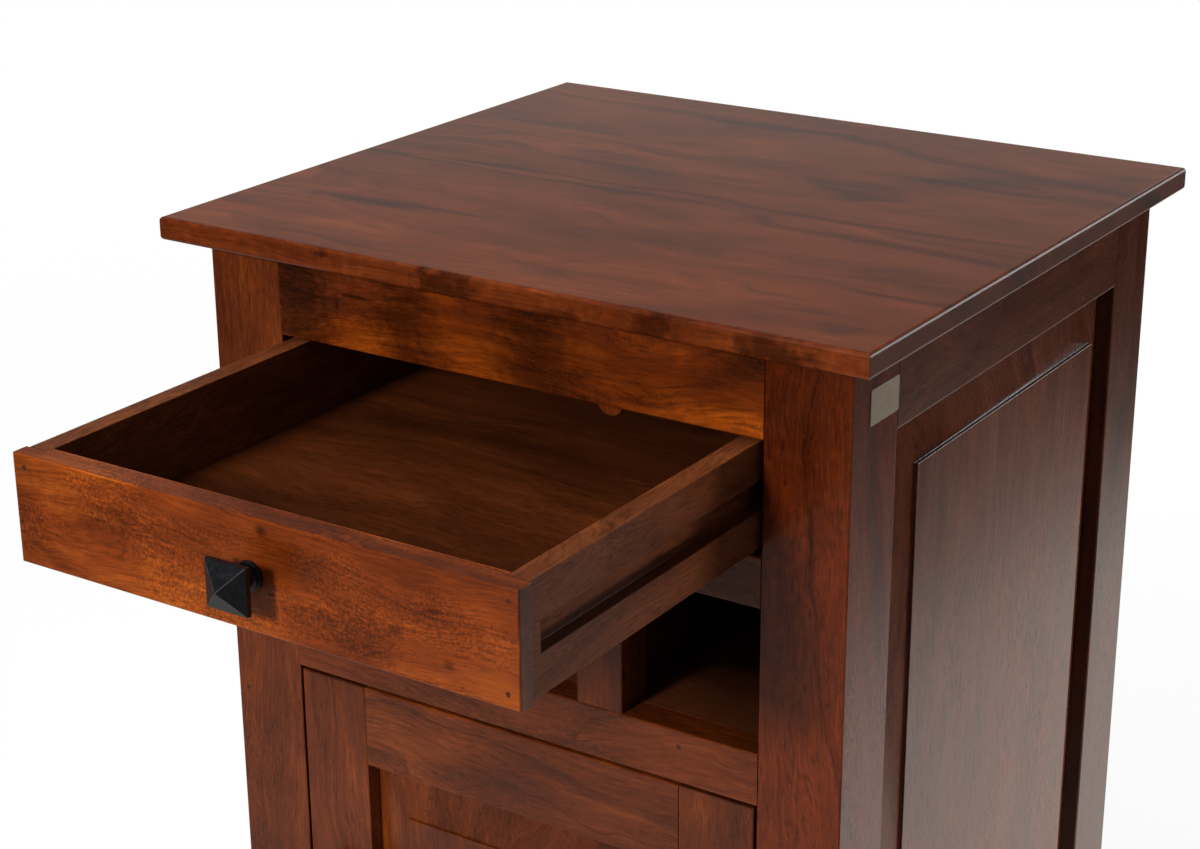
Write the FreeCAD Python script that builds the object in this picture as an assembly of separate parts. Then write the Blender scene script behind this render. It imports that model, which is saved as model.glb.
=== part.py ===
import FreeCAD, Part
import math
import os
from FreeCAD import Vector

# A solid-wood nightstand: four square posts with mortised rails, raised-and-fielded panels,
# a drawer on wooden runners, three open niches and one inset door on butt hinges.
# Millimetres. +X is right, +Y is the back, +Z is up.
# The origin is on the floor, midway between the four feet.
# The door is closed, and the drawer stands pulled open by drawer_pull.

# Carcass, from the floor up
carcass_width = 458.0
carcass_depth = 428.0
post_side = 55.0
leg_height = 55.0
bottom_rail_height = 34.5
door_opening_height = 309.0
low_rail_height = 34.5
niche_height = 93.0
mid_rail_height = 32.0
drawer_opening_height = 71.0
top_rail_height = 56.0
side_rail_height = 56.0
rail_thickness = 28.0
arris = 1.2
foot_chamfer = 2.5

# Top board
top_thickness = 15.0
top_overhang_side = 21.0
top_overhang_front = 23.0
top_overhang_back = 5.0
top_arris = 2.5

# Mortise-and-tenon joints
tenon_length = 24.0
tenon_thickness = 12.0
tenon_shoulder = 5.0
stile_tenon_length = 10.0
joint_clearance = 0.1
tenon_end_gap = 1.0
overcut = 1.0

# Panels in grooves; depths are measured in from the frame's outer face
panel_tongue = 8.0
panel_tongue_thickness = 6.0
panel_bevel_depth = 12.0
panel_field_depth = 1.2
panel_field_step = 2.0
panel_margin = 31.0

# Inner boards, which lie in rebates along the rails' upper edges
board_thickness = 12.0
board_rebate = 7.0
board_clearance = 0.3
bearer_thickness = 24.0
niche_stile_width = 32.5
partition_thickness = 12.0

# Drawer
drawer_pull = 232.0
drawer_depth = 384.0
drawer_gap = 2.5
drawer_front_thickness = 16.0
drawer_front_lap = 11.0
drawer_front_proud = 2.0
drawer_side_thickness = 13.5
drawer_back_thickness = 13.0
drawer_back_inset = 10.0
drawer_bottom_thickness = 6.0
drawer_bottom_height = 9.0
drawer_bottom_tongue = 5.0

# Runners, and the grooves in the drawer sides that ride on them
groove_height = 18.5
groove_depth = 8.0
groove_start = 21.0
groove_below_top = 24.0
runner_top_play = 0.3
runner_bottom_play = 0.8
runner_side_play = 1.0
runner_end_play = 0.5
runner_back_gap = 6.0

# Stop button behind the front rail
stop_width = 18.0
stop_length = 46.0
stop_thickness = 11.0
stop_drop = 18.0
stop_centre_x = 54.0
stop_play = 0.3
stop_head_play = 0.3

# Cleats under the top
cleat_side = 20.0
cleat_end_gap = 4.0

# Door
door_gap = 2.0
door_thickness = 22.0
door_stile_width = 52.0
door_rail_width = 57.0
door_tenon_length = 30.0
door_tenon_thickness = 8.0
door_tongue_thickness = 5.0

# Knobs
knob_side = 28.0
knob_rim = 3.5
knob_point = 8.5
knob_neck = 16.0
knob_neck_radius = 5.5
knob_foot_radius = 8.5
knob_foot_height = 3.0
knob_tip_flat = 1.2

# Butt hinges
hinge_height = 50.0
hinge_inset = 45.0
hinge_barrel_radius = 3.5
hinge_pin_radius = 2.0
hinge_running_fit = 0.05
hinge_leaf = 0.9
hinge_leaf_width = 19.0
hinge_middle_knuckle = 20.0
hinge_knuckle_gap = 0.3
hinge_screw_rise = 15.0

# Door catch
catch_width = 14.0
catch_depth = 15.0
catch_height = 46.0
catch_below_door_top = 45.0
catch_plate_thickness = 1.2
catch_plate_height = 34.0
catch_gap = 0.3

# Screws, with plain eight-sided shanks: countersunk, or round-headed where one turns or pulls up a knob
screw_sides = 8
screw_tip_radius = 0.4
screw_radius = 1.75
screw_head_radius = 3.4
screw_head_height = 2.4
screw_fit = 0.05
runner_screw_length = 30.0
cleat_screw_length = 30.0
top_screw_cover = 5.0
hinge_screw_radius = 1.3
hinge_screw_head_radius = 2.6
hinge_screw_head_height = 0.9
hinge_screw_length = 14.0
catch_screw_length = 24.0
stop_screw_length = 30.0
knob_screw_radius = 2.0
knob_screw_grip = 14.0
round_head_radius = 4.0
round_head_height = 2.4

# Faces and levels that follow from the sizes above
half_width = carcass_width / 2
front = -carcass_depth / 2
back = carcass_depth / 2
post_inner_x = half_width - post_side
rail_inner_x = half_width - rail_thickness
panel_inner_x = half_width - panel_bevel_depth - panel_tongue_thickness
front_post_back = front + post_side
back_post_front = back - post_side
front_rail_back = front + rail_thickness
back_rail_front = back - rail_thickness
back_panel_front = back - panel_bevel_depth - panel_tongue_thickness
bearer_front = back_panel_front - bearer_thickness
tenon_inset = (rail_thickness - tenon_thickness) / 2

bottom_rail_z = (leg_height, leg_height + bottom_rail_height)
door_opening_z = (bottom_rail_z[1], bottom_rail_z[1] + door_opening_height)
low_rail_z = (door_opening_z[1], door_opening_z[1] + low_rail_height)
niche_z = (low_rail_z[1], low_rail_z[1] + niche_height)
mid_rail_z = (niche_z[1], niche_z[1] + mid_rail_height)
drawer_opening_z = (mid_rail_z[1], mid_rail_z[1] + drawer_opening_height)
top_rail_z = (drawer_opening_z[1], drawer_opening_z[1] + top_rail_height)
top_z = (top_rail_z[1], top_rail_z[1] + top_thickness)
side_bottom_rail_z = (leg_height, leg_height + side_rail_height)
side_top_rail_z = (top_rail_z[1] - side_rail_height, top_rail_z[1])
panel_shoulder = panel_tongue + 2 * joint_clearance + tenon_end_gap

X_AXIS = Vector(1, 0, 0)
Y_AXIS = Vector(0, 1, 0)
Z_AXIS = Vector(0, 0, 1)
ORIGIN = Vector(0, 0, 0)


# General shapes

def block(x, y, z):
    """A box between three (low, high) spans."""
    corner = Vector(x[0], y[0], z[0])
    return Part.makeBox(x[1] - x[0], y[1] - y[0], z[1] - z[0], corner)


def spread(span, amount):
    """A span made larger at both ends."""
    return (span[0] - amount, span[1] + amount)


def mirrored(shape):
    """The same piece for the other side of the nightstand."""
    return shape.mirror(ORIGIN, X_AXIS)


def joined(shapes):
    """One solid from pieces that belong together."""
    return shapes[0].multiFuse(shapes[1:]).removeSplitter()


def edges_where(shape, test):
    """The straight edges whose two end points pass a test."""
    return [e for e in shape.Edges if all(test(v.Point) for v in e.Vertexes)]


def edges_along(shape, axis):
    """The straight edges that run along an axis."""
    return [e for e in shape.Edges if abs(abs(e.tangentAt(e.FirstParameter).dot(axis)) - 1) < 1e-6]


def softened_front(shape, axes):
    """Rounds the edges of a board's front face that run along the given axes."""
    face_edges = edges_where(shape, lambda p: abs(p.y - front) < 1e-6)
    chosen = [e for axis in axes for e in edges_along(shape, axis)]
    return shape.makeFillet(arris, [e for e in chosen if any(e.isSame(f) for f in face_edges)])


def pointing(shape, direction, place):
    """Turns a piece made along +Z at the origin to a direction, and moves it to its place."""
    turned = shape.copy()
    turned.Placement = FreeCAD.Placement(place, FreeCAD.Rotation(Z_AXIS, direction))
    return turned


def screw_outline(radius, level):
    """The corners of a regular polygon about the Z axis."""
    turn = 2 * math.pi / screw_sides
    angles = [i * turn for i in range(screw_sides)]
    return [Vector(radius * math.cos(a), radius * math.sin(a), level) for a in angles]


def flat_face(corners):
    return Part.Face(Part.makePolygon(corners + corners[:1]))


def stacked(outlines):
    """A solid with flat sides between polygons that have as many corners each."""
    faces = [flat_face(outlines[0]), flat_face(outlines[-1])]
    for low, high in zip(outlines, outlines[1:]):
        for i in range(len(low)):
            before = i - 1
            faces.append(flat_face([low[before], low[i], high[i], high[before]]))
    return Part.makeSolid(Part.makeShell(faces))


def screw(head_centre, direction, length, sizes, fit=0.0):
    """A countersunk screw from the outside of its head inwards; fit makes it its own hole."""
    shank_radius, head_radius, head_height = sizes
    outlines = [
        screw_outline(head_radius + fit, 0),
        screw_outline(shank_radius + fit, head_height + fit),
        screw_outline(shank_radius + fit, length - shank_radius),
        screw_outline(screw_tip_radius + fit, length + fit),
    ]
    return pointing(stacked(outlines), direction, head_centre)


def round_screw(tip, length, radius):
    """A round-headed screw that points to -Y, as long from its tip to the flat under its head."""
    outlines = [
        screw_outline(radius, 0),
        screw_outline(radius, length),
        screw_outline(round_head_radius, length),
        screw_outline(round_head_radius, length + round_head_height),
    ]
    return pointing(stacked(outlines), Y_AXIS, tip)


wood_screw_sizes = (screw_radius, screw_head_radius, screw_head_height)
hinge_screw_sizes = (hinge_screw_radius, hinge_screw_head_radius, hinge_screw_head_height)


# Rails and their tenons

def cross_rail(y, z, tenon_y, shoulder):
    """A rail from post to post along X, with a tenon at each end."""
    tenon_z = spread(z, -shoulder)
    reach = post_inner_x + tenon_length
    body = block((-post_inner_x, post_inner_x), y, z)
    return body, block((-reach, reach), tenon_y, tenon_z)


def cross_mortise(tenon_y, z, shoulder):
    """The hole in a right-hand post for the tenon of a rail along X."""
    deep = post_inner_x + tenon_length + tenon_end_gap
    return block(
        (post_inner_x, deep),
        spread(tenon_y, joint_clearance),
        spread(z, joint_clearance - shoulder),
    )


front_tenon_y = (front + tenon_inset, front + tenon_inset + tenon_thickness)
back_tenon_y = (back - tenon_inset - tenon_thickness, back - tenon_inset)
bearer_inset = (bearer_thickness - tenon_thickness) / 2
bearer_tenon_y = (bearer_front + bearer_inset, bearer_front + bearer_inset + tenon_thickness)
side_tenon_x = (half_width - tenon_inset - tenon_thickness, half_width - tenon_inset)
side_opening_z = (side_bottom_rail_z[1], side_top_rail_z[0])
back_opening_z = (bottom_rail_z[1], side_top_rail_z[0])
groove_x = (panel_inner_x, panel_inner_x + panel_tongue_thickness)
back_groove_y = (back_panel_front, back_panel_front + panel_tongue_thickness)


def front_rail(z, with_board):
    """A front rail, rounded along its front edges, with a rebate behind if a board lies on it."""
    body, tenons = cross_rail((front, front_rail_back), z, front_tenon_y, tenon_shoulder)
    rail = joined([softened_front(body, [X_AXIS]), tenons])
    if with_board:
        rail = rail.cut(board_seat((front_rail_back - board_rebate, front_rail_back), z[1]))
    return rail


def board_seat(y, top):
    """The rebate along a rail's upper edge that an inner board lies in."""
    return block((-post_inner_x, post_inner_x), y, (top - board_thickness, top))


def bearer(z):
    """A rail inside the back posts that carries the back edge of an inner board."""
    body, tenons = cross_rail((bearer_front, back_panel_front), z, bearer_tenon_y, tenon_shoulder)
    return joined([body, tenons]).cut(board_seat((bearer_front, bearer_front + board_rebate), z[1]))


def back_rail(z):
    """A rail flush with the back posts, grooved along its inner edge for the back panel."""
    body, tenons = cross_rail((back_rail_front, back), z, back_tenon_y, panel_shoulder)
    deep = spread(back_opening_z, panel_tongue + joint_clearance)
    groove = block((-post_inner_x, post_inner_x), spread(back_groove_y, joint_clearance), deep)
    return joined([body, tenons]).cut(groove)


def right_side_rail(z):
    """A side rail from the front to the back post, grooved along its inner edge for the panel."""
    body = block((rail_inner_x, half_width), (front_post_back, back_post_front), z)
    tenons = block(
        side_tenon_x,
        (front_post_back - tenon_length, back_post_front + tenon_length),
        spread(z, -panel_shoulder),
    )
    deep = spread(side_opening_z, panel_tongue + joint_clearance)
    groove = block(spread(groove_x, joint_clearance), (front_post_back, back_post_front), deep)
    long_edges = [e for e in edges_along(body, Y_AXIS) if abs(e.Vertexes[0].X - half_width) < 1e-6]
    return joined([body.makeFillet(arris, long_edges), tenons]).cut(groove)


# Posts

def side_joints(y_face, inward):
    """The cuts in a right-hand post for its two side rails and the side panel."""
    reach = tenon_length + tenon_end_gap
    mortise_y = sorted((y_face, y_face - inward * reach))
    groove_y = sorted((y_face, y_face - inward * (panel_tongue + joint_clearance)))
    cuts = [
        block(spread(side_tenon_x, joint_clearance), mortise_y, spread(z, joint_clearance - panel_shoulder))
        for z in (side_bottom_rail_z, side_top_rail_z)
    ]
    deep = spread(side_opening_z, panel_tongue + joint_clearance)
    return cuts + [block(spread(groove_x, joint_clearance), groove_y, deep)]


def right_post_blank(y):
    """A square post with rounded long edges and a chamfered foot."""
    blank = block((post_inner_x, half_width), y, (0, top_rail_z[1]))
    foot_edges = edges_where(blank, lambda p: abs(p.z) < 1e-6)
    blank = blank.makeChamfer(foot_chamfer, foot_edges)
    return blank.makeFillet(arris, edges_along(blank, Z_AXIS))


def right_front_post():
    rails = (bottom_rail_z, low_rail_z, mid_rail_z, top_rail_z)
    mortises = [cross_mortise(front_tenon_y, z, tenon_shoulder) for z in rails]
    return right_post_blank((front, front_post_back)).cut(mortises + side_joints(front_post_back, 1))


def right_back_post():
    mortises = [cross_mortise(back_tenon_y, z, panel_shoulder) for z in (bottom_rail_z, side_top_rail_z)]
    mortises += [cross_mortise(bearer_tenon_y, z, tenon_shoulder) for z in (low_rail_z, mid_rail_z)]
    groove = block(
        (post_inner_x, post_inner_x + panel_tongue + joint_clearance),
        spread(back_groove_y, joint_clearance),
        spread(back_opening_z, panel_tongue + joint_clearance),
    )
    cuts = mortises + side_joints(back_post_front, -1) + [groove]
    return right_post_blank((back_post_front, back)).cut(cuts)


# Raised-and-fielded panels

def raised_panel(width, height, tongue_thickness):
    """A panel for an opening of this size, centred on X and Z, facing -Y, with the frame's face at Y 0.
    From the tongue a bevel climbs to a small step, and the flat field stands on that step."""
    half_w = width / 2
    half_h = height / 2
    field_w = half_w - panel_margin
    field_h = half_h - panel_margin
    field_foot = panel_field_depth + panel_field_step
    tongue = block(
        (-half_w - panel_tongue, half_w + panel_tongue),
        (panel_bevel_depth, panel_bevel_depth + tongue_thickness),
        (-half_h - panel_tongue, half_h + panel_tongue),
    )
    bevel = Part.makeWedge(
        -field_w, field_foot, -field_h, -half_h, -half_w,
        field_w, panel_bevel_depth, field_h, half_h, half_w,
    )
    field = block((-field_w, field_w), (panel_field_depth, field_foot), (-field_h, field_h))
    return joined([tongue, bevel, field])


def right_side_panel():
    depth = back_post_front - front_post_back
    height = side_opening_z[1] - side_opening_z[0]
    panel = raised_panel(depth, height, panel_tongue_thickness)
    panel.rotate(ORIGIN, Z_AXIS, 90)
    panel.translate(Vector(half_width, 0, sum(side_opening_z) / 2))
    return panel


def back_panel():
    return block(
        (-post_inner_x - panel_tongue, post_inner_x + panel_tongue),
        back_groove_y,
        spread(back_opening_z, panel_tongue),
    )


# Top, inner boards and niches

def top_board():
    board = block(
        (-half_width - top_overhang_side, half_width + top_overhang_side),
        (front - top_overhang_front, back + top_overhang_back),
        top_z,
    )
    level_edges = edges_along(board, X_AXIS) + edges_along(board, Y_AXIS)
    return board.makeFillet(top_arris, level_edges)


def inner_board(top, half, y):
    """A board that lies in two rebates and is notched at its corners round the posts."""
    level = (top - board_thickness, top)
    between_posts = (front_post_back + board_clearance, back_post_front - board_clearance)
    middle = block((-half, half), between_posts, level)
    end_half = post_inner_x - board_clearance
    ends = block((-end_half, end_half), spread(y, board_rebate - board_clearance), level)
    return joined([middle, ends])


niche_width = (2 * post_inner_x - 2 * niche_stile_width) / 3
niche_stile_x = (niche_width / 2, niche_width / 2 + niche_stile_width)


def niche_stile_tenon_x():
    return spread(niche_stile_x, -tenon_shoulder)


def right_niche_stile():
    body = block(niche_stile_x, (front, front_rail_back), niche_z)
    tenons = block(niche_stile_tenon_x(), front_tenon_y, spread(niche_z, stile_tenon_length))
    return joined([softened_front(body, [Z_AXIS]), tenons])


def niche_mortises(z):
    """Holes for both niche stiles in the rail below or above them."""
    hole = block(spread(niche_stile_tenon_x(), joint_clearance), spread(front_tenon_y, joint_clearance), z)
    return [hole, mirrored(hole)]


def right_partition():
    """The board behind a niche stile, notched at the back under the middle bearer."""
    centre = sum(niche_stile_x) / 2
    x = (centre - partition_thickness / 2, centre + partition_thickness / 2)
    rise = (niche_z[0], mid_rail_z[1] - board_thickness)
    board = block(x, (front_rail_back, back_panel_front), rise)
    notch = block(
        spread(x, overcut),
        (bearer_front - board_clearance, back_panel_front + overcut),
        (mid_rail_z[0] - board_clearance, rise[1] + overcut),
    )
    return board.cut(notch)


# Drawer, drawn closed and then pulled out

drawer_z = spread(drawer_opening_z, -drawer_gap)
drawer_front_half = post_inner_x - drawer_gap
drawer_side_outer = drawer_front_half - drawer_front_proud
drawer_side_inner = drawer_side_outer - drawer_side_thickness
drawer_back_y = (
    front + drawer_depth - drawer_back_inset - drawer_back_thickness,
    front + drawer_depth - drawer_back_inset,
)
drawer_bottom_z = (
    drawer_z[0] + drawer_bottom_height,
    drawer_z[0] + drawer_bottom_height + drawer_bottom_thickness,
)
side_groove_z = (drawer_z[1] - groove_below_top - groove_height, drawer_z[1] - groove_below_top)


def pulled(shape):
    """A drawer piece where it stands when the drawer is pulled open."""
    moved = shape.copy()
    moved.translate(Vector(0, -drawer_pull, 0))
    return moved


def drawer_bottom():
    return block(
        (-drawer_side_inner - drawer_bottom_tongue, drawer_side_inner + drawer_bottom_tongue),
        (front + drawer_front_thickness - drawer_bottom_tongue, drawer_back_y[1]),
        drawer_bottom_z,
    )


def drawer_bottom_groove():
    reach = drawer_side_inner + drawer_bottom_tongue + joint_clearance
    start = front + drawer_front_thickness - drawer_bottom_tongue - joint_clearance
    return block((-reach, reach), (start, front + drawer_depth), spread(drawer_bottom_z, joint_clearance))


def drawer_front():
    """The front board, lapped over the ends of both sides."""
    board = block((-drawer_front_half, drawer_front_half), (front, front + drawer_front_thickness), drawer_z)
    board = softened_front(board, [X_AXIS, Z_AXIS])
    behind_lap = (front + drawer_front_lap, front + drawer_front_thickness)
    rabbet = block((drawer_side_inner, drawer_front_half), behind_lap, drawer_z)
    bore = knob_bore(knob_place_drawer(), drawer_front_thickness)
    return board.cut([rabbet, mirrored(rabbet), drawer_bottom_groove(), bore])


def right_drawer_side():
    """A side with the bottom's groove inside and the runner's stopped groove outside."""
    y = (front + drawer_front_lap, front + drawer_depth)
    board = block((drawer_side_inner, drawer_side_outer), y, drawer_z)
    runner_groove = block(
        (drawer_side_outer - groove_depth, drawer_side_outer),
        (front + groove_start, front + drawer_depth),
        side_groove_z,
    )
    return board.cut([runner_groove, drawer_bottom_groove()])


def drawer_back():
    rise = (drawer_bottom_z[1], drawer_z[1])
    return block((-drawer_side_inner, drawer_side_inner), drawer_back_y, rise)


# Runners and stop button

runner_x = (drawer_side_outer - groove_depth + runner_side_play, post_inner_x)
runner_y = (front + groove_start + runner_end_play, back_panel_front - runner_back_gap)
runner_z = (side_groove_z[0] + runner_bottom_play, side_groove_z[1] - runner_top_play)
runner_screw_y = ((front + groove_start + front_post_back) / 2, (back_post_front + runner_y[1]) / 2)


def right_runner_screws(fit=0.0):
    level = sum(runner_z) / 2
    places = [Vector(runner_x[0], y, level) for y in runner_screw_y]
    return [screw(p, X_AXIS, runner_screw_length, wood_screw_sizes, fit) for p in places]


def right_runner():
    return block(runner_x, runner_y, runner_z).cut(right_runner_screws(screw_fit))


stop_y = (front_rail_back + stop_play, front_rail_back + stop_play + stop_thickness)
stop_z = (top_rail_z[0] - stop_drop, top_rail_z[0] - stop_drop + stop_length)
stop_pivot_z = stop_z[1] - stop_width / 2


stop_screw_tip = Vector(stop_centre_x, stop_y[1] + stop_head_play - stop_screw_length, stop_pivot_z)


def stop_screw():
    return round_screw(stop_screw_tip, stop_screw_length, screw_radius)


def stop_screw_hole():
    return Part.makeCylinder(screw_radius + screw_fit, stop_screw_length, stop_screw_tip, Y_AXIS)


def stop_button():
    """A wooden tongue with round ends that hangs on its screw and catches the drawer's back."""
    straight = block(
        (stop_centre_x - stop_width / 2, stop_centre_x + stop_width / 2),
        stop_y,
        spread(stop_z, -stop_width / 2),
    )
    ends = [
        Part.makeCylinder(stop_width / 2, stop_thickness, Vector(stop_centre_x, stop_y[0], z), Y_AXIS)
        for z in spread(stop_z, -stop_width / 2)
    ]
    return joined([straight] + ends).cut(stop_screw_hole())


# Cleats under the top

cleat_x = (rail_inner_x - cleat_side, rail_inner_x)
cleat_y = (front_post_back + cleat_end_gap, back_post_front - cleat_end_gap)
cleat_z = (top_rail_z[1] - cleat_side, top_rail_z[1])


def right_cleat_screws(fit=0.0):
    """Two screws up into the top and two outwards into the side rail."""
    quarter = (cleat_y[1] - cleat_y[0]) / 4
    centre_x = sum(cleat_x) / 2
    up_length = cleat_side + top_thickness - top_screw_cover
    up = [
        screw(Vector(centre_x, y, cleat_z[0]), Z_AXIS, up_length, wood_screw_sizes, fit)
        for y in (cleat_y[0] + quarter / 2, cleat_y[1] - quarter / 2)
    ]
    out = [
        screw(Vector(cleat_x[0], y, sum(cleat_z) / 2), X_AXIS, cleat_screw_length, wood_screw_sizes, fit)
        for y in (cleat_y[0] + quarter, cleat_y[1] - quarter)
    ]
    return up + out


def right_cleat():
    return block(cleat_x, cleat_y, cleat_z).cut(right_cleat_screws(screw_fit))


# Knobs

def knob(face_centre):
    """A square pyramid on a round neck with a round foot, which points to -Y from a face."""
    foot = Part.makeCylinder(knob_foot_radius, knob_foot_height)
    neck = Part.makeCylinder(knob_neck_radius, knob_neck)
    half = knob_side / 2
    plate = block((-half, half), (-half, half), (knob_neck, knob_neck + knob_rim))
    tip = knob_tip_flat / 2
    point = Part.makeWedge(
        -half, 0, -half, -tip, -tip,
        half, knob_point, half, tip, tip,
    )
    point.rotate(ORIGIN, X_AXIS, 90)
    point.translate(Vector(0, 0, knob_neck + knob_rim))
    thread = Part.makeCylinder(knob_screw_radius + screw_fit, knob_screw_grip + screw_fit)
    whole = joined([foot, neck, plate, point]).cut(thread)
    whole.rotate(ORIGIN, X_AXIS, 90)
    whole.translate(face_centre)
    return whole


def knob_bore(face_centre, board):
    """The hole through a board behind a knob."""
    return Part.makeCylinder(knob_screw_radius + screw_fit, board, face_centre, Y_AXIS)


def knob_screw(face_centre, board):
    """The screw through a board into a knob, with a round head on the board's back."""
    tip = face_centre - Vector(0, knob_screw_grip, 0)
    return round_screw(tip, board + knob_screw_grip, knob_screw_radius)


def knob_place_drawer():
    return Vector(0, front, sum(drawer_z) / 2)


def knob_place_door():
    return Vector(-door_half + door_stile_width / 2, front, sum(door_z) / 2)


# Door

door_half = post_inner_x - door_gap
door_z = spread(door_opening_z, -door_gap)
door_y = (front, front + door_thickness)
door_sight_half = door_half - door_stile_width
door_sight_z = spread(door_z, -door_rail_width)
door_groove_y = (front + panel_bevel_depth, front + panel_bevel_depth + door_tongue_thickness)
door_tenon_y = spread(door_y, (door_tenon_thickness - door_thickness) / 2)


def door_groove():
    """The groove round the inside of the door's frame."""
    reach = panel_tongue + joint_clearance
    return block(
        (-door_sight_half - reach, door_sight_half + reach),
        spread(door_groove_y, joint_clearance),
        spread(door_sight_z, reach),
    )


def door_rail_levels():
    return ((door_z[0], door_sight_z[0]), (door_sight_z[1], door_z[1]))


def right_door_stile():
    board = softened_front(block((door_sight_half, door_half), door_y, door_z), [X_AXIS, Z_AXIS])
    mortises = [
        block(
            (door_sight_half, door_sight_half + door_tenon_length + tenon_end_gap),
            spread(door_tenon_y, joint_clearance),
            spread(z, joint_clearance - panel_shoulder),
        )
        for z in door_rail_levels()
    ]
    return board.cut(mortises + [door_groove()])


def door_rail(z):
    reach = door_sight_half + door_tenon_length
    body = softened_front(block((-door_sight_half, door_sight_half), door_y, z), [X_AXIS])
    tenons = block((-reach, reach), door_tenon_y, spread(z, -panel_shoulder))
    return joined([body.cut(door_groove()), tenons])


def door_panel():
    height = door_sight_z[1] - door_sight_z[0]
    panel = raised_panel(2 * door_sight_half, height, door_tongue_thickness)
    panel.translate(Vector(0, front, sum(door_sight_z) / 2))
    return panel


# Butt hinges between the door and the right post

hinge_x = post_inner_x - door_gap / 2
hinge_y = front - hinge_barrel_radius
hinge_levels = {
    "lower": (door_z[0] + hinge_inset, door_z[0] + hinge_inset + hinge_height),
    "upper": (door_z[1] - hinge_inset - hinge_height, door_z[1] - hinge_inset),
}


def hinge_leaf_screws(z, on_post, fit=0.0):
    """Two screws through one leaf into the post or the door's edge."""
    face_x = post_inner_x - hinge_leaf if on_post else door_half + hinge_leaf
    direction = X_AXIS if on_post else -X_AXIS
    leaf_middle = front + hinge_leaf_width / 2
    places = [Vector(face_x, leaf_middle, sum(z) / 2 + side * hinge_screw_rise) for side in (-1, 1)]
    return [screw(p, direction, hinge_screw_length, hinge_screw_sizes, fit) for p in places]


def hinge_half(z, on_post):
    """One leaf with its knuckles: two outer ones on the post, the middle one on the door."""
    middle = spread((sum(z) / 2, sum(z) / 2), hinge_middle_knuckle / 2)
    outer = spread(middle, hinge_knuckle_gap)
    knuckles = [(z[0], outer[0]), (outer[1], z[1])] if on_post else [middle]
    leaf_x = (post_inner_x - hinge_leaf, post_inner_x) if on_post else (door_half, door_half + hinge_leaf)
    leaf = block(leaf_x, (front + hinge_knuckle_gap, front + hinge_leaf_width), z)
    barrels = [
        Part.makeCylinder(hinge_barrel_radius, k[1] - k[0], Vector(hinge_x, hinge_y, k[0]))
        for k in knuckles
    ]
    necks = [block(leaf_x, (hinge_y, front + hinge_knuckle_gap), k) for k in knuckles]
    bore = Part.makeCylinder(
        hinge_pin_radius + hinge_running_fit, hinge_height, Vector(hinge_x, hinge_y, z[0])
    )
    return joined([leaf] + barrels + necks).cut([bore] + hinge_leaf_screws(z, on_post, screw_fit))


def hinge_pin(z):
    """A pin with a low round head on top of the barrel."""
    base = Vector(hinge_x, hinge_y, z[0])
    shank = Part.makeCylinder(hinge_pin_radius, hinge_height, base)
    head = Part.makeCylinder(hinge_barrel_radius, hinge_pin_radius, base + Vector(0, 0, hinge_height))
    return joined([shank, head])


# Catch that holds the door closed

catch_y = (
    front + door_thickness + catch_plate_thickness + catch_gap,
    front + door_thickness + catch_plate_thickness + catch_gap + catch_depth,
)
catch_z = (door_z[1] - catch_below_door_top - catch_height, door_z[1] - catch_below_door_top)
catch_x = (-post_inner_x, -post_inner_x + catch_width)


def catch_screws(fit=0.0):
    """Two screws through the catch into the left post."""
    centre_y = sum(catch_y) / 2
    quarter = catch_height / 4
    places = [Vector(catch_x[1], centre_y, z) for z in (catch_z[0] + quarter, catch_z[1] - quarter)]
    return [screw(p, -X_AXIS, catch_screw_length, wood_screw_sizes, fit) for p in places]


def catch_body():
    return block(catch_x, catch_y, catch_z).cut(catch_screws(screw_fit))


def catch_plate():
    """A steel plate on the back of the door's left stile, which the catch's magnet holds."""
    plate_y = (front + door_thickness, front + door_thickness + catch_plate_thickness)
    plate_z = spread((sum(catch_z) / 2, sum(catch_z) / 2), catch_plate_height / 2)
    reach = (-door_half, catch_x[1])
    plate = block(reach, plate_y, plate_z)
    return plate.makeChamfer(catch_plate_thickness, edges_along(plate, Y_AXIS))


# All pieces

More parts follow.
